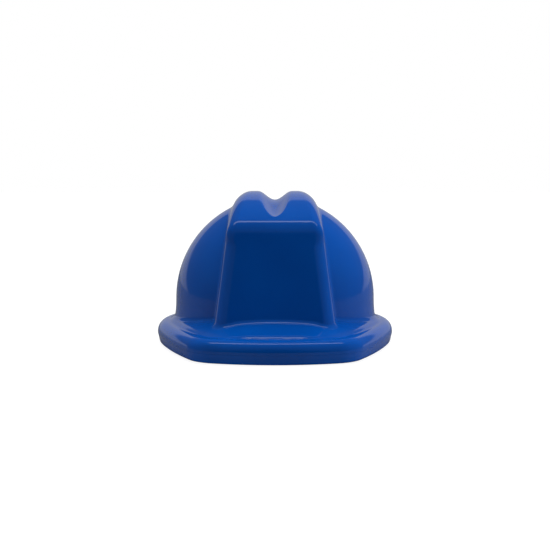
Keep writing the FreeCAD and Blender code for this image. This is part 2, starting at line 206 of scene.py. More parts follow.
# camera, light and floor

studio = {
    "cameraHeight": 6.0,         # degrees above level
    "cameraDistance": 1.5,
    "aim": (0.0, 0.0, 0.0685),
    "focalLength": 98.2,
    "floorSize": 6.0,
    "floorDrop": 0.0004,
    "floorGlow": 0.9,
    "floorBounce": 0.55,         # white paper lights the underside softly
    "stripPlace": (0.05, -0.03, 1.35),
    "stripSize": (1.5, 0.2),
    "stripPower": 2.2,
    "lampPower": 45.0,
    "lampPlace": (0.0, 0.01, -0.9),
    "lampCone": 15.0,            # degrees
    # name, tilt from overhead, compass turn (180 comes from behind), power, spread, tint
    "suns": [("overhead", 22.0, 180.0, 4.75, 60.0, (1.0, 1.0, 0.97)),
             ("rightFill", 68.0, 90.0, 2.8, 50.0, (0.92, 0.97, 1.0)),
             ("leftFill", 68.0, -84.0, 0.9, 50.0, (1.0, 1.0, 1.0))],
}
# what the gloss mirrors; the bands are parts of a unit direction
sky = {
    "backdrop": (0.42, 0.42, 0.42, 1.0),   # white paper behind, from the floor up
    "backdropTop": (0.54, 0.60),
    "backdropBand": (0.45, 0.62),
    "archHalf": 0.06,            # the paper's top edge is an arch that sinks to both sides
    "archDrop": 0.75,
    "roof": (0.09, 0.10, 0.12, 1.0),
    "left": (0.22, 0.23, 0.27, 1.0),
    "right": (0.10, 0.14, 0.22, 1.0),
    "sideBand": (-0.2, 0.2),
    "front": (0.012, 0.012, 0.012, 1.0),
    "frontBand": (-0.80, -0.25),
}


def buildCamera():
    data = bpy.data.cameras.new("camera")
    data.sensor_width = 36.0
    data.lens = studio["focalLength"]
    data.clip_end = 50.0
    camera = newObject("camera", data)
    rise = math.radians(studio["cameraHeight"])
    away = Vector((0.0, -math.cos(rise), math.sin(rise)))
    camera.location = Vector(studio["aim"]) + studio["cameraDistance"] * away
    camera.rotation_euler = (-away).to_track_quat("-Z", "Y").to_euler()
    bpy.context.scene.camera = camera


def newLight(name, kind, power, place, turn, glossy, **settings):
    data = bpy.data.lights.new(name, kind)
    data.energy = power
    for key, value in settings.items():
        setattr(data, key, value)
    lamp = newObject(name, data)
    lamp.location = place
    lamp.rotation_euler = turn
    lamp.visible_glossy = glossy


def buildSky(tree):
    # dark in front, white paper behind, dim flats at the sides
    def band(value, key):
        return rangeNode(tree, value, sky[key], kind="SMOOTHSTEP")

    split = addNode(tree, "ShaderNodeSeparateXYZ")
    feed(tree, addNode(tree, "ShaderNodeTexCoord").outputs["Generated"], split.inputs[0])
    x, y, z = split.outputs
    past = mathNode(tree, "SUBTRACT", mathNode(tree, "ABSOLUTE", x), sky["archHalf"], clamp=True)
    level = mathNode(tree, "MULTIPLY_ADD", past, sky["archDrop"], z)
    colour = mixNode(tree, band(x, "sideBand"), sky["left"], sky["right"])
    colour = mixNode(tree, band(y, "frontBand"), sky["front"], colour)
    colour = mixNode(tree, band(y, "backdropBand"), colour, sky["backdrop"])
    colour = mixNode(tree, band(level, "backdropTop"), colour, sky["roof"])
    lit = addNode(tree, "ShaderNodeBackground", Strength=1.0)
    feed(tree, colour, lit.inputs["Color"])
    return lit


def mixShader(tree, share, first, second, target):
    mix = addNode(tree, "ShaderNodeMixShader")
    for source, socket in zip((share, first.outputs[0], second.outputs[0]), mix.inputs):
        tree.links.new(source, socket)
    tree.links.new(mix.outputs[0], target)


def buildWorld():
    # the camera sees plain white, and everything else sees the sky
    world = bpy.data.worlds.new("studio")
    bpy.context.scene.world = world
    world.use_nodes = True
    tree = world.node_tree
    tree.nodes.clear()
    seen = addNode(tree, "ShaderNodeBackground", Color=(1.0, 1.0, 1.0, 1.0), Strength=1.0)
    path = addNode(tree, "ShaderNodeLightPath").outputs
    end = addNode(tree, "ShaderNodeOutputWorld")
    mixShader(tree, path["Is Camera Ray"], buildSky(tree), seen, end.inputs[0])


def buildFloor():
    half = studio["floorSize"] / 2
    floor = meshObject("floor", [(-half, -half, 0), (half, -half, 0), (half, half, 0), (-half, half, 0)],
                       [(0, 1, 2, 3)], 1.0)
    floor.location.z = -studio["floorDrop"]
    floor.visible_shadow = False
    material, tree, shader = newMaterial("whiteFloor")
    shader.inputs["Base Color"].default_value = (0.1, 0.1, 0.1, 1.0)
    shader.inputs["Roughness"].default_value = 0.7
    shader.inputs["Emission Color"].default_value = (1.0, 1.0, 1.0, 1.0)
    path = addNode(tree, "ShaderNodeLightPath").outputs
    glow = mathNode(tree, "MULTIPLY", path["Is Camera Ray"], studio["floorGlow"])
    bounce = mathNode(tree, "MULTIPLY_ADD", path["Is Diffuse Ray"], studio["floorBounce"], glow)
    feed(tree, bounce, shader.inputs["Emission Strength"])
    # seen from below, the floor lets the underside show
    below = addNode(tree, "ShaderNodeNewGeometry").outputs["Backfacing"]
    mixShader(tree, below, shader, addNode(tree, "ShaderNodeBsdfTransparent"),
              tree.nodes["Material Output"].inputs["Surface"])
    floor.data.materials.append(material)


def buildStudio():
    bpy.context.scene.view_settings.view_transform = "Standard"
    buildWorld()
    buildFloor()
    newLight("strip", "AREA", studio["stripPower"], studio["stripPlace"], (0.0, 0.0, 0.0), True,
             shape="RECTANGLE", size=studio["stripSize"][0], size_y=studio["stripSize"][1])
    # wide soft daylight that lights the matt colour and stays out of the gloss
    for name, tilt, turn, power, spread, tint in studio["suns"]:
        newLight(name, "SUN", power, (0.0, 0.0, 0.0), (math.radians(tilt), 0.0, math.radians(turn)), False,
                 angle=math.radians(spread), color=tint)
    # a lamp below the floor that reaches only the inside of the hat
    newLight("underLamp", "SPOT", studio["lampPower"], studio["lampPlace"], (math.pi, 0.0, 0.0), False,
             spot_size=math.radians(studio["lampCone"]), spot_blend=0.5, shadow_soft_size=0.05)


# shell: dome, lobes, groove and brim as one distance field

shellForm = {
    "wall": 3.0,
    "parting": 9.1,             # height of the joint with the brim ring
    "rollRadius": 11.0,
    "valley": (12.5, 21.9),      # inset and height where the deck leaves the roll
    "deckBase": (45.0, 34.0),    # inset and height where the deck is level
    "deckSlope": 0.3,
    "deckCorner": 53.0,          # radius of the deck's own front corners
    "deckBlend": (-60.0, 50.0),  # y where the deck starts to follow the outline, and how far it takes
    "stepSlope": 1.2,            # short rise just behind the roll
    "stepRound": 1.5,
    "domeCentre": (0.0, 20.0, 44.2),
    "domeHalf": (100.0, 107.0, 101.2),
    "domeFlare": 0.13,           # draft of the skirt below the dome's widest level
    "lobeRise": 107.3,
    "lobeReach": 138.0,
    "lobeDrop": 26.0,
    "lobeRear": 85.0,
    "lobeEnd": 104.0,            # the lobes stop inside the dome
    "sideHalfWidth": 39.8,
    "sideLevel": 152.0,
    "sideDraft": 0.1213,
    "sideFlare": 0.0258,
    "cornerRadius": 17.0,
    "panelCornerRadius": 10.0,
    "panelBase": (-97.0, 34.5),  # y and z
    "panelTop": (-72.0, 127.0),
    "panelEdge": 13.0,
    "panelTopEdge": 6.0,
    "panelEaseDrop": 24.0,       # the panel's edge starts to sharpen this far below its top
    "panelEaseSpan": 16.0,
    "grooveDepth": 8.6,
    "grooveHalf": 17.5,
    "grooveFront": -61.0,
    "grooveBend": 42.0,          # roundness of its front end
    "grooveRamp": 42.0,
    "grooveRear": 66.0,
    "grooveFade": 26.0,
    "ridgeBlend": 6.0,
    "ridgeLift": 0.3,
    "blockFillet": 3.5,
    "brimFillet": 3.0,
    "valleyFillet": 1.5,
    "cell": 1.7,                 # spacing of the mesh
    "lip": 0.15,
    "boxHalf": 120.0,
    "boxTop": 153.5,
}


def joined(a, b, radius):
    # union with a round fillet
    return (np.maximum(radius, np.minimum(a, b))
            - np.hypot(np.maximum(radius - a, 0.0), np.maximum(radius - b, 0.0)))


def shared(a, b, radius):
    # intersection with a rounded edge
    return (np.minimum(-radius, np.maximum(a, b))
            + np.hypot(np.maximum(radius + a, 0.0), np.maximum(radius + b, 0.0)))


def eased(value):
    # 0 to 1 with a gentle start and end
    share = np.clip(value, 0.0, 1.0)
    return share ** 2 * (3 - 2 * share)


def domeField(x, y, z):
    a, b, c = shellForm["domeHalf"]
    cx, cy, cz = shellForm["domeCentre"]
    grow = 1.0 + shellForm["domeFlare"] * np.maximum(cz - z, 0.0) ** 2 / (a * (cz - 9.0))
    x, y, z = (x - cx) / grow, (y - cy) / grow, np.maximum(z - cz, 0.0)
    level = np.sqrt((x / a) ** 2 + (y / b) ** 2 + (z / c) ** 2) + 1e-9
    steep = np.sqrt((x / a ** 2) ** 2 + (y / b ** 2) ** 2 + (z / c ** 2) ** 2) + 1e-9
    return level * (level - 1.0) / steep


def crestHeight(y):
    s = shellForm
    cy, cz = s["domeCentre"][1], s["domeCentre"][2]
    front = np.clip((cy - y) / s["lobeReach"], 0.0, 0.93)
    back = np.clip((y - cy) / s["domeHalf"][1], 0.0, 0.93)
    ahead = cz + s["lobeRise"] * np.sqrt(1 - front ** 2)
    rise = s["domeHalf"][2]
    behind = cz + rise * np.sqrt(1 - back ** 2) + s["lobeRise"] - rise
    behind = behind - s["lobeDrop"] * (np.maximum(y - cy, 0.0) / s["lobeRear"]) ** 2
    return np.where(y <= cy, ahead, behind)


def grooveField(x, y, z):
    # below this level the groove is open; elsewhere it lies on or above the crown
    s = shellForm
    ridge = ridgeHeight(y)
    slope = ridgeHeight(y + 0.5) - ridgeHeight(y - 0.5)
    across = np.clip(np.abs(x) / s["grooveHalf"], 0.0, 1.0)
    along = np.clip((y - s["grooveFront"] - s["grooveBend"] * across ** 2) / s["grooveRamp"], 0.0, 1.0)
    along = 1 - (1 - along) ** 2
    rear = eased((s["grooveRear"] - y) / s["grooveFade"])
    depth = s["grooveDepth"] * np.cos(across * math.pi / 2) ** 2 * along * rear
    return (z - ridge) / np.sqrt(1 + slope ** 2) + depth


def ridgeHeight(y):
    # the higher of the lobes and the dome along the middle
    (_, cy, cz), (_, b, c) = shellForm["domeCentre"], shellForm["domeHalf"]
    dome = cz + c * np.sqrt(1 - np.clip(np.abs(y - cy) / b, 0.0, 0.97) ** 2) + shellForm["ridgeLift"]
    crest, blend = crestHeight(y), shellForm["ridgeBlend"]
    return np.maximum(dome, crest) + np.maximum(blend - np.abs(dome - crest), 0.0) ** 2 / (4 * blend)


def lobeField(x, y, z):
    s = shellForm
    cy = s["domeCentre"][1]
    slope = (crestHeight(y + 0.5) - crestHeight(y - 0.5))
    crest = (z - crestHeight(y)) / np.sqrt(1 + slope ** 2)
    reach = s["sideHalfWidth"] + s["sideDraft"] * (s["sideLevel"] - z) + s["sideFlare"] * (cy - y)
    side = (np.abs(x) - reach) / math.hypot(1.0, s["sideDraft"])
    (baseY, baseZ), (topY, topZ) = s["panelBase"], s["panelTop"]
    turn = np.clip((y - topY) / (cy - topY), 0.0, 1.0)
    radius = s["panelCornerRadius"] + turn * (s["cornerRadius"] - s["panelCornerRadius"])
    lean = math.atan2(topY - baseY, topZ - baseZ)
    front = -(y - baseY) * math.cos(lean) + (z - baseZ) * math.sin(lean)
    near = eased((z - topZ + s["panelEaseDrop"]) / s["panelEaseSpan"])
    edge = s["panelEdge"] + (s["panelTopEdge"] - s["panelEdge"]) * near
    return np.maximum(shared(shared(crest, side, radius), front, edge), y - s["lobeEnd"])


def deckInset(x, y, inset):
    # inset with its front corners rounded off, so that the deck has no crease there
    front, side = outlineArcs[0], outlineArcs[2]
    ahead = front[2] - np.hypot(x - front[0], y - front[1])
    aside = side[2] - np.hypot(np.abs(x) - side[0], y - side[1])
    smooth = -shared(-ahead, -aside, shellForm["deckCorner"])
    start, span = shellForm["deckBlend"]
    return smooth + (inset - smooth) * eased((y - start) / span)


def brimField(x, y, z):
    s = shellForm
    inset = insetFrom(x, y)
    roll = np.hypot(inset - s["rollRadius"], z - s["rollRadius"]) - s["rollRadius"]
    (startD, startZ), (baseD, baseZ) = s["valley"], s["deckBase"]
    level = np.minimum(deckInset(x, y, inset), baseD)
    gentle = (z - baseZ - s["deckSlope"] * (level - baseD)) / math.hypot(1.0, s["deckSlope"])
    steep = (z - startZ - s["stepSlope"] * (inset - startD)) / math.hypot(1.0, s["stepSlope"])
    deck = shared(gentle, steep, s["stepRound"])
    deck = np.maximum(deck, s["rollRadius"] - inset)
    return joined(roll, deck, s["valleyFillet"])


def shellField(x, y, z):
    crown = joined(domeField(x, y, z), lobeField(x, y, z), shellForm["blockFillet"])
    crown = np.maximum(crown, grooveField(x, y, z))
    return joined(crown, brimField(x, y, z), shellForm["brimFillet"])


def slopeOf(field, points):
    step = 0.05
    parts = []
    for axis in range(3):
        shift = np.zeros(3)
        shift[axis] = step
        ahead, behind = points + shift, points - shift
        parts.append((field(*ahead.T) - field(*behind.T)) / (2 * step))
    return np.stack(parts, axis=1)


def outwardOf(field, points):
    slope = slopeOf(field, points)
    return slope / np.linalg.norm(slope, axis=1)[:, None]


def surfaceNet(field, low, high, cell):
    # quads on the zero level of a field, one point in each grid cell that it crosses
    counts = [int(math.ceil((b - a) / cell)) + 1 for a, b in zip(low, high)]
    axes = [a + cell * np.arange(n) for a, n in zip(low, counts)]
    values = field(*np.meshgrid(*axes, indexing="ij"))
    inside = values < 0
    cells = tuple(n - 1 for n in counts)
    corners = [(i, j, k) for i in (0, 1) for j in (0, 1) for k in (0, 1)]
    filled = np.zeros(cells, dtype=np.int8)
    for i, j, k in corners:
        filled += inside[i:i + cells[0], j:j + cells[1], k:k + cells[2]]
    active = (filled > 0) & (filled < 8)
    where = np.argwhere(active)
    index = np.full(cells, -1)
    index[active] = np.arange(len(where))
    total = np.zeros((len(where), 3))
    hits = np.zeros(len(where))
    for i, j, k in corners:
        for axis in range(3):
            end = [i, j, k]
            if end[axis]:
                continue
            end[axis] = 1
            first = values[where[:, 0] + i, where[:, 1] + j, where[:, 2] + k]
            last = values[where[:, 0] + end[0], where[:, 1] + end[1], where[:, 2] + end[2]]
            crossed = (first < 0) != (last < 0)
            share = np.where(crossed, first / np.where(crossed, first - last, 1.0), 0.0)
            spot = np.tile(np.array([i, j, k], dtype=float), (len(where), 1))
            spot[:, axis] += share
            total += spot * crossed[:, None]
            hits += crossed
    points = np.array(low) + cell * (where + total / hits[:, None])
    quads = []
    for axis in range(3):
        other, third = (axis + 1) % 3, (axis + 2) % 3
        lower = np.take(inside, range(cells[axis]), axis=axis)
        upper = np.take(inside, range(1, counts[axis]), axis=axis)
        for start, flag in ((lower & ~upper, False), (upper & ~lower, True)):
            edges = np.argwhere(start)
            keep = (edges[:, other] > 0) & (edges[:, third] > 0)
            keep &= (edges[:, other] < cells[other]) & (edges[:, third] < cells[third])
            edges = edges[keep]
            ring = []
            for back in ((1, 1), (0, 1), (0, 0), (1, 0)):
                spot = edges.copy()
                spot[:, other] -= back[0]
                spot[:, third] -= back[1]
                ring.append(index[spot[:, 0], spot[:, 1], spot[:, 2]])
            quad = np.stack(ring, axis=1)
            quads.append(quad[:, ::-1] if flag else quad)
    return points, np.concatenate(quads)


def settle(field, points, rounds=5, level=False):
    # move points onto the zero level along its slope, or in plan only
    for _ in range(rounds):
        slope = slopeOf(field, points)
        if level:
            slope[:, 2] = 0.0
        value = field(*points.T)
        points = points - slope * (value / np.maximum((slope ** 2).sum(axis=1), 0.05))[:, None]
    return points


def openEdges(quads):
    # directed edges that belong to one face only
    edges = np.concatenate([quads[:, [i, (i + 1) % 4]] for i in range(4)])
    keys = {tuple(edge) for edge in edges.tolist()}
    return [edge for edge in keys if (edge[1], edge[0]) not in keys]


def buildShell():
    s = shellForm
    low = (-s["boxHalf"], -outline["length"] / 2 - 2.0, s["parting"] + 0.5)
    high = (s["boxHalf"], outline["length"] / 2 + 2.0, s["boxTop"])
    points, quads = surfaceNet(shellField, low, high, s["cell"])
    points = settle(shellField, points)
    border = openEdges(quads)
    count = len(points)
    loop = sorted({edge[0] for edge in border} | {edge[1] for edge in border})
    place = {point: i for i, point in enumerate(loop)}
    drop = points[loop].copy()
    drop[:, 2] = s["parting"] + s["lip"]
    drop = settle(shellField, drop, 6, True)
    normals, dropNormals = outwardOf(shellField, points), outwardOf(shellField, drop)
    foot = drop - dropNormals * np.array([1.0, 1.0, 0.0]) * s["lip"]
    foot[:, 2] = s["parting"]
    inner = points - normals * s["wall"]
    innerFoot = drop - dropNormals * s["wall"]
    innerFoot[:, 2] = s["parting"]
    size = len(loop)
    rows = [2 * count + size * i + np.arange(size) for i in range(3)]
    rows = [np.array(loop)] + rows + [np.array(loop) + count]
    faces = quads.tolist() + (quads[:, ::-1] + count).tolist()
    for a, b in border:
        a, b = place[a], place[b]
        faces += [(upper[b], upper[a], lower[a], lower[b]) for upper, lower in zip(rows, rows[1:])]
    every = np.concatenate([points, inner, drop, foot, innerFoot])
    shell = meshObject("shell_skin", every, faces)
    down = np.tile([0.0, 0.0, -1.0], (size, 1))
    shading = np.concatenate([normals, -normals, dropNormals, down, down])
    shell.data.normals_split_custom_set_from_vertices(shading.tolist())
    print("shell points", len(every), "faces", len(faces))
    return shell


# materials

def buildGrain():
    # fine unevenness of a moulded or cast surface
    group, given, result = newGroup("grain", {"Scale": 400.0}, ("Height", "Mask"))
    fine = noiseNode(group, Detail=4.0, Roughness=0.55)
    feed(group, given.outputs["Scale"], fine.inputs["Scale"])
    wide = noiseNode(group, Scale=16.0, Detail=2.0)
    feed(group, fine.outputs["Fac"], result.inputs["Height"])
    feed(group, wide.outputs["Fac"], result.inputs["Mask"])
    return group


def buildWear():
    # rubbed edges: convex places, broken up by noise
    group, given, result = newGroup("edgeWear", {"Reach": 0.08}, ("Mask",))
    flat = 0.51                  # just above a flat place's pointiness
    convex = addNode(group, "ShaderNodeNewGeometry").outputs["Pointiness"]
    band = rangeNode(group, convex, (flat, mathNode(group, "ADD", given.outputs["Reach"], flat)))
    speckle = noiseNode(group, Scale=180.0, Detail=3.0)
    feed(group, mathNode(group, "MULTIPLY", band, speckle.outputs["Fac"]), result.inputs["Mask"])
    return group


def buildWeave():
    # crossing yarns from two lengths in millimetres
    group, given, result = newGroup(
        "weave", {"Along": 0.0, "Across": 0.0, "Pitch Along": 1.0, "Pitch Across": 1.0}, ("Height", "Mask"))
    waves = []
    for label in ("Along", "Across"):
        share = mathNode(group, "DIVIDE", given.outputs[label], given.outputs["Pitch " + label])
        waves.append(mathNode(group, "SINE", mathNode(group, "MULTIPLY", share, math.tau)))
    height = mathNode(group, "MULTIPLY_ADD", mathNode(group, "MULTIPLY", *waves), 0.5, 0.5)
    fuzz = noiseNode(group, Scale=60.0, Detail=5.0)
    feed(group, height, result.inputs["Height"])
    # the mask is lowest where the yarns sink between each other, and places the painted shade there
    feed(group, mathNode(group, "MULTIPLY", height, fuzz.outputs["Fac"]), result.inputs["Mask"])
    return group


grainGroup, wearGroup, weaveGroup = buildGrain(), buildWear(), buildWeave()

finishes = {
    # colour, its shade, how the two meet, worn colour, roughness, grain, relief and depth, metal
    "shellBlue": ((0, 66, 146), (0, 61, 138), (0.3, 0.7), None, (0.042, 0.09), 60.0, (0.05, 0.0002), 0.0),
    "nylon": ((47, 49, 54), (37, 39, 43), (0.0, 1.0), (104, 107, 112), (0.34, 0.5), 900.0,
              (0.25, 0.0001), 0.0),
    "knobNylon": ((64, 66, 71), (54, 56, 60), (0.0, 1.0), (104, 106, 110), (0.5, 0.68), 1500.0,
                  (0.6, 0.0001), 0.0),
    "acetal": ((226, 223, 212), (210, 206, 194), (0.0, 1.0), (238, 236, 230), (0.28, 0.4), 500.0,
               (0.1, 0.0001), 0.0),
    "springSteel": ((168, 170, 174), (140, 144, 152), (0.0, 1.0), (206, 208, 210), (0.2, 0.38), 1200.0,
                    (0.15, 0.0001), 1.0),
    "zinc": ((182, 184, 188), (160, 158, 150), (0.0, 1.0), (214, 214, 214), (0.26, 0.44), 700.0,
             (0.1, 0.0001), 1.0),
}

cloths = {
    # yarn colour, painted shade between yarns, pitch along and across, relief and depth, sheen
    "webbing": ((74, 78, 90), (26, 28, 35), (1.5, 1.1), (0.9, 0.00025), 0.25),
    "canvas": ((38, 62, 122), (12, 24, 66), (0.9, 0.9), (0.8, 0.00018), 0.2),
    "knit": ((118, 122, 132), (66, 69, 77), (1.3, 0.8), (0.8, 0.0002), 0.5),
    "thread": ((176, 182, 196), (120, 126, 142), (0.6, 0.6), (0.3, 0.0001), 0.3),
}


def linkBump(tree, shader, height, relief):
    bump = addNode(tree, "ShaderNodeBump", Strength=relief[0], Distance=relief[1])
    feed(tree, height, bump.inputs["Height"])
    feed(tree, bump.outputs[0], shader.inputs["Normal"])


def buildHard(name, look):
    # moulded plastic or metal: grain, uneven colour and polish, and rubbed edges on the inner parts
    colour, shade, patches, worn, rough, scale, relief, metal = look
    material, tree, shader = newMaterial(name)
    grain = placeGroup(tree, grainGroup, Scale=scale).outputs
    share = rangeNode(tree, grain["Mask"], patches)
    tone = mixNode(tree, share, colourOf(*colour), colourOf(*shade))
    if worn:
        wear = placeGroup(tree, wearGroup, Reach=0.1).outputs
        tone = mixNode(tree, wear["Mask"], tone, colourOf(*worn))
    feed(tree, tone, shader.inputs["Base Color"])
    feed(tree, rangeNode(tree, grain["Height"], end=rough), shader.inputs["Roughness"])
    linkBump(tree, shader, grain["Height"], relief)
    shader.inputs["Metallic"].default_value = metal
    return material


def buildCloth(name, look):
    # yarns that follow the cloth, with a soft sheen
    colour, shade, pitches, relief, sheen = look
    material, tree, shader = newMaterial(name)
    weave = placeGroup(tree, weaveGroup)
    for label, layer, pitch in zip(("Along", "Across"), ("clothAlong", "clothAcross"), pitches):
        place = addNode(tree, "ShaderNodeAttribute", attribute_name=layer)
        feed(tree, place.outputs["Fac"], weave.inputs[label])
        weave.inputs["Pitch " + label].default_value = pitch
    height = weave.outputs["Height"]
    # painted shade: the darker colour fills the low places between the yarns
    tone = mixNode(tree, weave.outputs["Mask"], colourOf(*shade), colourOf(*colour))
    feed(tree, tone, shader.inputs["Base Color"])
    feed(tree, rangeNode(tree, height, end=(0.92, 0.74)), shader.inputs["Roughness"])
    linkBump(tree, shader, height, relief)
    shader.inputs["Sheen Weight"].default_value = sheen
    return material


# suspension and ratchet parts that keep their drawn shape

softParts = {
    # node: name, edge width, finish, body
    "headband": ("headband_moulding", 0.35, "nylon", "hat"),
    "ratchet_housing": ("housing_moulding", 0.5, "nylon", "hat"),
    "housing_cover": ("cover_moulding", 0.3, "nylon", "hat"),
    "adjust_knob": ("knob_moulding", 0.4, "knobNylon", "knob"),
}
for side in ("left", "right"):
    softParts[side + "_arm_guide"] = (side + "_guide_moulding", 0.25, "nylon", "hat")
    softParts[side + "_rack_arm"] = (side + "_arm_moulding", 0.2, "nylon", side + "_arm")
for place in ("front_left", "front_right", "rear_right", "rear_left"):
    softParts[place + "_key"] = (place + "_key_moulding", 0.35, "nylon", "hat")
plainParts = {"headband_studs": "nylon", "detent_ring": "acetal", "pinion_gear": "acetal",
              "detent_spring": "springSteel", "knob_screw": "zinc"}


# sections, sweeps and softened edges

def roundedLoop(corners, steps=4):
    # closed outline; each corner (x, y, radius) is eased by its own radius
    loop = []
    for i, (x, y, radius) in enumerate(corners):
        here = np.array([x, y])
        if not radius:
            loop.append(here)
            continue
        before = np.array(corners[i - 1][:2]) - here
        after = np.array(corners[(i + 1) % len(corners)][:2]) - here
        start = here + before / np.linalg.norm(before) * radius
        end = here + after / np.linalg.norm(after) * radius
        for step in range(steps + 1):
            t = step / steps
            loop.append((1 - t) ** 2 * start + 2 * t * (1 - t) * here + t * t * end)
    return np.array(loop)


def tidyNormals(obj, joinFlats=False):
    # faces outward; a drawn part also has its flat faces joined up
    shape = bmesh.new()
    shape.from_mesh(obj.data)
    if joinFlats:
        bmesh.ops.remove_doubles(shape, verts=shape.verts, dist=0.002 * mm)
        bmesh.ops.dissolve_limit(shape, angle_limit=math.radians(0.6), verts=shape.verts,
                                 edges=shape.edges)
    bmesh.ops.recalc_face_normals(shape, faces=shape.faces)
    shape.to_mesh(obj.data)
    shape.free()


def sweepMesh(name, loops, closed):
    # skin over equal loops of points, with flat ends when it is open
    size, faces = len(loops[0]), []
    for i in range(len(loops) if closed else len(loops) - 1):
        a, b = i * size, (i + 1) % len(loops) * size
        faces += [(a + j, a + (j + 1) % size, b + (j + 1) % size, b + j) for j in range(size)]
    if not closed:
        faces.append(tuple(range(size)))
        faces.append(tuple(range((len(loops) - 1) * size, len(loops) * size)))
    obj = meshObject(name, np.concatenate(loops), faces)
    tidyNormals(obj)
    return obj


def slabMesh(name, front, back):
    # closed slab between two equal grids of points
    columns, rows = front.shape[0] - 1, front.shape[1] - 1
    step, count = rows + 1, (columns + 1) * (rows + 1)
    faces = []
    for i in range(columns):
        for j in range(rows):
            a, b = i * step + j, (i + 1) * step + j
            faces += [(a, b, b + 1, a + 1), (count + a + 1, count + b + 1, count + b, count + a)]
    rim = [i * step for i in range(columns)] + [columns * step + j for j in range(rows)]
    rim += [i * step + rows for i in range(columns, 0, -1)] + list(range(rows, 0, -1))
    faces += [(a, b, count + b, count + a) for a, b in zip(rim, rim[1:] + rim[:1])]
    obj = meshObject(name, np.concatenate([front.reshape(-1, 3), back.reshape(-1, 3)]), faces)
    tidyNormals(obj)
    return obj


def smoothEdges(obj):
    # shading that keeps the wide faces flat and rolls over the small edges
    weighted = obj.modifiers.new("evenShading", "WEIGHTED_NORMAL")
    weighted.weight = 80
    return obj


def bevelled(obj, width):
    bevel = obj.modifiers.new("softEdge", "BEVEL")
    bevel.width = width * mm
    bevel.segments = 2
    bevel.limit_method = "ANGLE"
    bevel.angle_limit = math.radians(32.0)
    bevel.use_clamp_overlap = False
    return smoothEdges(obj)


def softCopy(node, name, width, material, body, slot):
    # a copy of a moulded part with its sharp edges broken
    obj = newObject(name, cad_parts[node].data.copy())
    tidyNormals(obj, True)
    obj.data.shade_smooth()
    bevelled(obj, width)
    return finishPiece(obj, material, body, slot, node)


def markAlong(obj, along, across):
    # where each point lies along and across the cloth, in millimetres, for the weave
    for label, values in (("clothAlong", along), ("clothAcross", across)):
        layer = obj.data.attributes.new(label, "FLOAT", "POINT")
        layer.data.foreach_set("value", np.asarray(values, dtype=np.float32))


# brim ring

ringForm = {
    "footInset": 2.0,
    "footRise": 1.4,
    "width": 14.0,
    "thickness": 5.5,
    "tongueInset": 3.6,
    "tongueWidth": 2.0,
    "tongueRise": 3.0,           # how far the tongue stands up inside the roll
    "spacing": 2.4,
}


def buildRing(material):
    r, parting, roll = ringForm, shellForm["parting"], shellForm["rollRadius"]
    lip = roll - math.sqrt(roll ** 2 - (roll - parting) ** 2)
    tongue, top = r["tongueInset"], parting + r["tongueRise"]
    section = roundedLoop([
        (lip, parting, 0.25), (r["footInset"], r["footRise"], 1.1), (r["footInset"] + 1.5, 0.0, 1.1),
        (r["width"], 0.0, 0.8), (r["width"], r["thickness"], 0.8),
        (tongue + r["tongueWidth"] + 0.4, r["thickness"], 0.6),
        (tongue + r["tongueWidth"], top, 0.5), (tongue, top, 0.5), (tongue, parting, 0.0)])
    loops = []
    for x, y, nx, ny in outlineStations(r["spacing"]):
        inset, z = section[:, 0], section[:, 1]
        loops.append(np.stack([x - nx * inset, y - ny * inset, z], axis=1))
    obj = smoothEdges(sweepMesh("brim_ring_band", loops, True))
    return finishPiece(obj, material, "hat", "ring_plastic", "brim_ring")


# sockets moulded inside the shell, one for each key

socketForm = {
    "angles": {"front_left": 215.0, "front_right": 325.0, "rear_right": 35.0, "rear_left": 145.0},
    "centreY": 20.0,
    "inner": 92.6,
    "outer": 100.4,
    "width": 26.0,
    "bottom": 26.0,
    "top": 45.0,
    "slot": (94.4, 97.6),
    "slotWidth": 18.0,
    "slotTop": 42.0,
    "edge": 0.7,
}


def aroundHead(points, angle):
    # turn points given as (radius, sideways, height) about the dome's axis
    c, s = math.cos(math.radians(angle)), math.sin(math.radians(angle))
    points = np.asarray(points, dtype=float)
    return np.stack([points[:, 0] * c - points[:, 1] * s,
                     points[:, 0] * s + points[:, 1] * c + socketForm["centreY"], points[:, 2]], axis=1)


def buildSocket(name, angle, material):
    # a pocket open at the bottom, its roof sloped into the wall of the shell
    f = socketForm
    half, slot, (near, far) = f["width"] / 2, f["slotWidth"] / 2, f["slot"]
    outer = [(f["inner"], -half), (f["outer"], -half), (f["outer"], half), (f["inner"], half)]
    pocket = [(near, -slot), (far, -slot), (far, slot), (near, slot)]
    rims = [[(r, t, f["bottom"]) for r, t in outer],
            [(r, t, f["top"] + (4.0 if r > f["inner"] else 0.0)) for r, t in outer],
            [(r, t, f["bottom"]) for r, t in pocket], [(r, t, f["slotTop"]) for r, t in pocket]]
    faces = [(4, 5, 6, 7), (12, 13, 14, 15)]
    for i in range(4):
        j = (i + 1) % 4
        faces += [(i, j, 4 + j, 4 + i), (8 + i, 8 + j, 12 + j, 12 + i), (i, j, 8 + j, 8 + i)]
    obj = meshObject(name, aroundHead(sum(rims, []), angle), faces)
    tidyNormals(obj)
    bevelled(obj, f["edge"])
    return finishPiece(obj, material, "hat", "shell_plastic")


# crown straps

strapForm = {
    "width": 19.0,
    "thickness": 1.2,
    "reach": 91.0,               # radius of the outer face on the legs
    "foot": 18.6,
    "bend": 44.0,
    "top": 118.0,
    "gap": 0.5,                  # between the two straps where they cross
    "hemTop": 33.0,
    "hemGap": 0.06,
    "selvedge": 1.3,
    "edgeRadius": 0.5,
    "dip": 0.16,                 # the woven edges stand proud of the middle by this share
    "step": 1.3,
    "archSteps": 92,
    "acrossStep": 1.6,
    "stitchSide": 2.6,           # from the hem's sides, foot and top to its stitching
    "stitchLow": 2.4,
    "stitchHigh": 1.8,
    "stitchLift": 0.08,
}


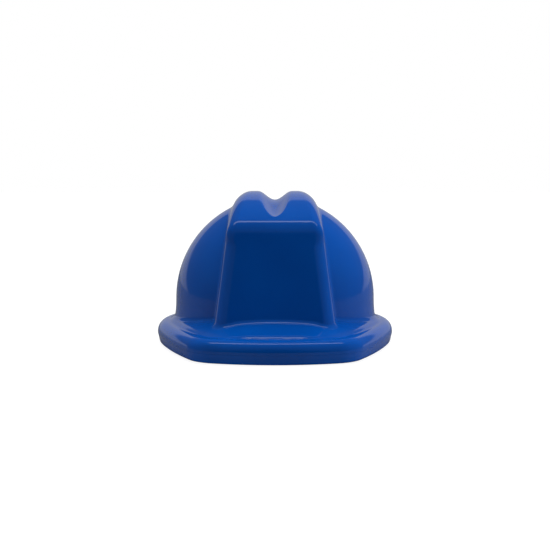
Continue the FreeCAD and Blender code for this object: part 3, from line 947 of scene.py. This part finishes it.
def strapPath(rise):
    # middle line as radius and height: hem, fold, leg and half of the arch
    f = strapForm
    thick = f["thickness"]
    leg, fold = f["reach"] - thick / 2, (thick + f["hemGap"]) / 2
    low = f["foot"] + thick / 2 + fold
    a, c = leg, f["top"] + rise - thick / 2 - f["bend"]
    path = [(leg - 2 * fold, z) for z in np.arange(f["hemTop"], low, -f["step"])]
    path += [(leg - fold - fold * math.cos(t), low - fold * math.sin(t))
             for t in np.linspace(0.0, math.pi, 7)]
    path += [(leg, z) for z in np.arange(low + f["step"], f["bend"], f["step"])]
    path += [(a * math.cos(t), f["bend"] + c * math.sin(t))
             for t in np.linspace(0.0, math.pi / 2, f["archSteps"] + 1)]
    mirror = [(-r, z) for r, z in reversed(path[:-1])]
    return np.array(path + mirror)


def buildStrap(name, node, angle, rise, material):
    f = strapForm
    half, thick = f["width"] / 2, f["thickness"] / 2
    section = roundedLoop([(s, t, f["edgeRadius"]) for s, t in
                           ((-half, -thick), (half, -thick), (half, thick), (-half, thick))])
    fine = []
    for (s0, t0), (s1, t1) in zip(section, np.roll(section, -1, axis=0)):
        count = max(1, int(abs(s1 - s0) / f["acrossStep"]))
        fine += [(s0 + (s1 - s0) * i / count, t0 + (t1 - t0) * i / count) for i in range(count)]
    section = np.array(fine)
    thin = 1.0 - f["dip"] * (np.abs(section[:, 0]) < half - f["selvedge"])
    path = strapPath(rise)
    ahead = np.gradient(path, axis=0)
    ahead /= np.linalg.norm(ahead, axis=1)[:, None]
    travelled = np.concatenate([[0.0], np.cumsum(np.linalg.norm(np.diff(path, axis=0), axis=1))])
    loops = []
    for (r, z), (dr, dz) in zip(path, ahead):
        lift = section[:, 1] * thin
        loops.append(aroundHead(np.stack([r + dz * lift, section[:, 0], z - dr * lift], axis=1), angle))
    obj = smoothEdges(sweepMesh(name, loops, False))
    markAlong(obj, np.repeat(travelled, len(section)), np.tile(section[:, 0], len(path)))
    return finishPiece(obj, material, "hat", "webbing", node)


threadForm = {
    "length": 2.5,
    "gap": 0.7,
    "radius": 0.24,
    "sink": 0.04,
    "dip": 0.25,                 # how far a stitch's ends go down into the cloth
    "profile": ((0.0, 0.3), (0.18, 0.9), (0.5, 1.0), (0.82, 0.9), (1.0, 0.3)),  # place and girth
    "sides": 8,
}


def buildThread(name, runs, material, body, slot):
    # rows of separate stitches; each run is its two ends and the way it faces
    f, points, faces = threadForm, [], []
    sides, pitch = f["sides"], f["length"] + f["gap"]
    for start, end, facing in runs:
        start, end, facing = (np.array(v, dtype=float) for v in (start, end, facing))
        span = np.linalg.norm(end - start)
        along = (end - start) / span
        aside = np.cross(facing, along)
        count = max(1, int(span / pitch))
        slack = (span - count * pitch + f["gap"]) / 2
        for i in range(count):
            base = len(points)
            for share, girth in f["profile"]:
                centre = start + along * (slack + i * pitch + share * f["length"])
                centre = centre + facing * (f["radius"] * girth - f["sink"] - f["dip"] * (girth < 0.5))
                for turn in range(sides):
                    t = math.tau * turn / sides
                    points.append(centre + f["radius"] * girth * (math.cos(t) * aside + math.sin(t) * facing))
            last = base + sides * (len(f["profile"]) - 1)
            for a in range(base, last, sides):
                b = a + sides
                faces += [(a + j, a + (j + 1) % sides, b + (j + 1) % sides, b + j) for j in range(sides)]
            faces += [tuple(range(base, base + sides)), tuple(range(last, last + sides))]
    obj = meshObject(name, points, faces)
    tidyNormals(obj)
    return finishPiece(obj, material, body, slot)


def strapStitches(angle):
    # a box and a cross on each hem, seen from inside the hat
    f = strapForm
    face, runs = f["reach"] - 2 * f["thickness"] - f["hemGap"] + f["stitchLift"], []
    half = f["width"] / 2 - f["stitchSide"]
    low, high = f["foot"] + f["stitchLow"], f["hemTop"] - f["stitchHigh"]
    for turned in (angle, angle + 180.0):
        corners = [(face, -half, low), (face, half, low), (face, half, high), (face, -half, high)]
        spots = aroundHead(corners, turned)
        facing = aroundHead([(-1.0, 0.0, 0.0)], turned)[0] - (0.0, socketForm["centreY"], 0.0)
        pairs = [(0, 1), (1, 2), (2, 3), (3, 0), (0, 2), (1, 3)]
        runs += [(spots[a], spots[b], facing) for a, b in pairs]
    return runs


# crown patch

patchForm = {
    "size": 34.0,
    "base": 119.8,
    "thickness": 1.55,
    "edge": 0.5,
    "pull": 0.035,               # how far the sides draw in between the corners
    "droop": 1.1,
    "seam": 0.84,                # share of the half width where the stitching runs
    "seamDepth": 0.3,
    "seamWidth": 0.035,
    "crossWidth": 0.05,
    "pillow": 7,                 # how squarely it fills out
    "cornerPull": 0.03,
    "cells": 44,
    "stitchRuns": 8,
}


def crowned(share, power):
    # full height in the middle, round and thin at both sides
    return np.clip(1 - np.abs(share) ** power, 0.0, 1.0) ** 0.5


def patchHeight(u, v):
    f = patchForm
    bulge = crowned(u, f["pillow"]) * crowned(v, f["pillow"])
    ring = np.maximum(np.abs(u), np.abs(v))
    seam = f["seamDepth"] * np.exp(-((ring - f["seam"]) / f["seamWidth"]) ** 2)
    diagonal = np.minimum(np.abs(u - v), np.abs(u + v))
    cross = f["seamDepth"] * np.exp(-(diagonal / f["crossWidth"]) ** 2) * (ring < f["seam"])
    return f["edge"] + (f["thickness"] - f["edge"]) * bulge - np.maximum(seam, cross) * bulge


def patchPlace(u, v, lift):
    f = patchForm
    half = f["size"] / 2
    x = half * u * (1 - f["pull"] * (1 - v ** 2)) * (1 - f["cornerPull"] * np.abs(v) ** 8)
    y = half * v * (1 - f["pull"] * (1 - u ** 2)) * (1 - f["cornerPull"] * np.abs(u) ** 8)
    z = f["base"] + lift - f["droop"] * (u ** 2 + v ** 2) / 2
    return np.stack([x, y + socketForm["centreY"], z], axis=-1)


def buildPatch(material):
    n = patchForm["cells"]
    u, v = np.meshgrid(np.linspace(-1, 1, n + 1), np.linspace(-1, 1, n + 1), indexing="ij")
    upper, lower = patchPlace(u, v, patchHeight(u, v)), patchPlace(u, v, np.zeros_like(u))
    obj = slabMesh("crown_patch_fabric", upper, lower)
    places = np.concatenate([upper.reshape(-1, 3), lower.reshape(-1, 3)])
    markAlong(obj, places[:, 0], places[:, 1])
    return finishPiece(obj, material, "hat", "patch_fabric", "crown_patch")


def patchStitches():
    s, parts, runs = patchForm["seam"], patchForm["stitchRuns"], []
    ends = [((-s, -s), (s, -s)), ((s, -s), (s, s)), ((s, s), (-s, s)), ((-s, s), (-s, -s)),
            ((-s, -s), (s, s)), ((-s, s), (s, -s))]
    for (u0, v0), (u1, v1) in ends:
        for i in range(parts):
            spots = []
            for t in (i / parts, (i + 1) / parts):
                u, v = np.array(u0 + (u1 - u0) * t), np.array(v0 + (v1 - v0) * t)
                spots.append(patchPlace(u, v, patchHeight(u, v)))
            runs.append((spots[0], spots[1], (0.0, 0.0, 1.0)))
    return runs


# padded brow band and nape pad

padForms = {
    "brow": {"node": "brow_pad", "name": "brow_pad_cushion", "halfWidth": 79.9, "reach": 107.9,
             "middle": 270.0, "half": 45.6, "bottom": 9.7, "top": 42.3, "thickness": 3.4,
             "channels": 9, "hem": 3.4},
    "nape": {"node": "nape_pad", "name": "nape_pad_cushion", "halfWidth": 79.8, "reach": 79.8,
             "middle": 90.0, "half": 21.7, "bottom": 8.2, "top": 31.8, "thickness": 3.9,
             "channels": 3, "hem": 3.0},
}
padCloth = {"voxel": 1.35, "pressure": 110.0, "frames": 20, "cap": 1.1, "start": 0.72,
            "channelDepth": 1.15, "channelWidth": 1.1, "hemDepth": 0.9, "hemWidth": 0.9,
            "rim": 0.9, "glued": 0.45, "backing": 0.5, "columns": 120, "rows": 26}
bandCentreY = 22.0


def padPlace(form, angle, depth, z):
    # a point at some depth inside the headband's face
    turned = np.radians(angle)
    a, b = form["halfWidth"] - depth, form["reach"] - depth
    radius = 1 / np.hypot(np.cos(turned) / a, np.sin(turned) / b)
    return np.stack([radius * np.cos(turned), bandCentreY + radius * np.sin(turned), z + 0 * radius], axis=-1)


def padBlank(form):
    # crowned closed form, thin at its hem
    c = padCloth
    u, v = np.meshgrid(np.linspace(-1, 1, c["columns"] + 1), np.linspace(-1, 1, c["rows"] + 1),
                       indexing="ij")
    depth = c["rim"] + (c["start"] * form["thickness"] - c["rim"]) * crowned(u, 24) * crowned(v, 5)
    angle = form["middle"] + form["half"] * u
    middle, half = (form["bottom"] + form["top"]) / 2, (form["top"] - form["bottom"]) / 2
    z = middle + half * v * (1 - 0.02 * np.abs(u) ** 16)
    return slabMesh(form["name"], padPlace(form, angle, depth, z), padPlace(form, angle, 0.0 * depth, z))


def meshPoints(mesh):
    flat = np.zeros(len(mesh.vertices) * 3)
    mesh.vertices.foreach_get("co", flat)
    return flat.reshape(-1, 3)


def applied(obj):
    depsgraph = bpy.context.evaluated_depsgraph_get()
    mesh = bpy.data.meshes.new_from_object(obj.evaluated_get(depsgraph))
    obj.modifiers.clear()
    old = obj.data
    obj.data = mesh
    bpy.data.meshes.remove(old)


def padDepth(form, points):
    # way along the headband's face from the pad's middle, depth inside that face and its radius
    angle = np.arctan2(points[:, 1] - bandCentreY, points[:, 0])
    radius = np.hypot(points[:, 0], points[:, 1] - bandCentreY)
    face = 1 / np.hypot(np.cos(angle) / form["halfWidth"], np.sin(angle) / form["reach"])
    return (angle % math.tau - math.radians(form["middle"])) * face, face - radius, face


def puffed(obj, form):
    # cloth under pressure, held where the pad is glued to the plastic
    c, scene = padCloth, bpy.context.scene
    start = meshPoints(obj.data)
    depth = padDepth(form, start / mm)[1]
    held = obj.vertex_groups.new(name="held")
    held.add([int(i) for i in np.nonzero(depth < c["glued"])[0]], 1.0, "REPLACE")
    cloth = obj.modifiers.new("cloth", "CLOTH")
    settings = cloth.settings
    settings.vertex_group_mass = "held"
    settings.use_pressure = True
    settings.uniform_pressure_force = c["pressure"]
    settings.quality = 4
    settings.mass = 0.2
    settings.effector_weights.gravity = 0.0
    cloth.point_cache.frame_start = 1
    cloth.point_cache.frame_end = c["frames"]
    for number in range(1, c["frames"] + 1):
        scene.frame_set(number)
    result = obj.evaluated_get(bpy.context.evaluated_depsgraph_get())
    moved = meshPoints(result.data) - start
    length = np.linalg.norm(moved, axis=1)[:, None]
    moved *= np.minimum(1.0, c["cap"] * mm / np.maximum(length, 1e-9))
    obj.modifiers.clear()
    obj.vertex_groups.clear()
    obj.data.vertices.foreach_set("co", (start + moved).ravel())
    scene.frame_set(1)
    print("stage: puffed", obj.name, "mean", round(float(length.mean()) / mm, 2), "mm")


def sewn(obj, form):
    # channels across the pad and a stitched hem round it, pressed in after the filling
    c = padCloth
    points = meshPoints(obj.data) / mm
    along, depth, face = padDepth(form, points)
    half = math.radians(form["half"]) * face
    step = 2 * half / form["channels"]
    offset = np.abs((along / step + 0.5 * form["channels"] + 0.5) % 1.0 - 0.5) * step
    edge = np.minimum(half - np.abs(along), np.minimum(points[:, 2] - form["bottom"],
                                                       form["top"] - points[:, 2]))
    inside = np.clip(edge - form["hem"], 0.0, 1.0)
    press = c["channelDepth"] * np.exp(-(offset / c["channelWidth"]) ** 2) * inside
    press = np.maximum(press, c["hemDepth"] * np.exp(-((edge - form["hem"]) / c["hemWidth"]) ** 2))
    press = np.minimum(press, np.maximum(depth - c["backing"], 0.0))
    outward = np.stack([points[:, 0], points[:, 1] - bandCentreY], axis=1)
    outward /= np.linalg.norm(outward, axis=1)[:, None]
    points[:, :2] += outward * press[:, None]
    obj.data.vertices.foreach_set("co", (points * mm).ravel())
    markAlong(obj, along, points[:, 2])
    obj.data.update()


def buildPad(form, material):
    obj = padBlank(form)
    remesh = obj.modifiers.new("remesh", "REMESH")
    remesh.mode = "VOXEL"
    remesh.voxel_size = padCloth["voxel"] * mm
    applied(obj)
    puffed(obj, form)
    sewn(obj, form)
    obj.data.shade_smooth()
    smooth = obj.modifiers.new("smooth", "SUBSURF")
    smooth.levels = smooth.render_levels = 1
    finishPiece(obj, material, "hat", "pad_fabric", form["node"])
    return obj


# assemble

buildCamera()
buildStudio()
print("stage: studio done")
hard = {name: buildHard(name, look) for name, look in finishes.items()}
cloth = {name: buildCloth(name, look) for name, look in cloths.items()}
finishPiece(buildShell(), hard["shellBlue"], "hat", "shell_plastic", "shell")
for place, angle in socketForm["angles"].items():
    buildSocket("shell_socket_" + place, angle, hard["shellBlue"])
buildRing(hard["shellBlue"])
print("stage: shell and ring done")
over = strapForm["thickness"] + strapForm["gap"]
for side, place, rise in (("left", "rear_right", 0.0), ("right", "rear_left", over)):
    angle = socketForm["angles"][place]
    buildStrap("crown_strap_%s_webbing" % side, "crown_strap_" + side, angle, rise, cloth["webbing"])
    buildThread("strap_stitching_" + side, strapStitches(angle), cloth["thread"], "hat", "webbing")
buildPatch(cloth["canvas"])
buildThread("patch_stitching", patchStitches(), cloth["thread"], "hat", "patch_fabric")
print("stage: straps and patch done")
for node, (name, width, finish, body) in softParts.items():
    slot = "knob_plastic" if body == "knob" else "suspension_plastic"
    softCopy(node, name, width, hard[finish], body, slot)
for node, finish in plainParts.items():
    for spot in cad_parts[node].material_slots:
        spot.material = hard[finish]
print("stage: moulded parts done")
for form in padForms.values():
    buildPad(form, cloth["knit"])
print("stage: pads done")
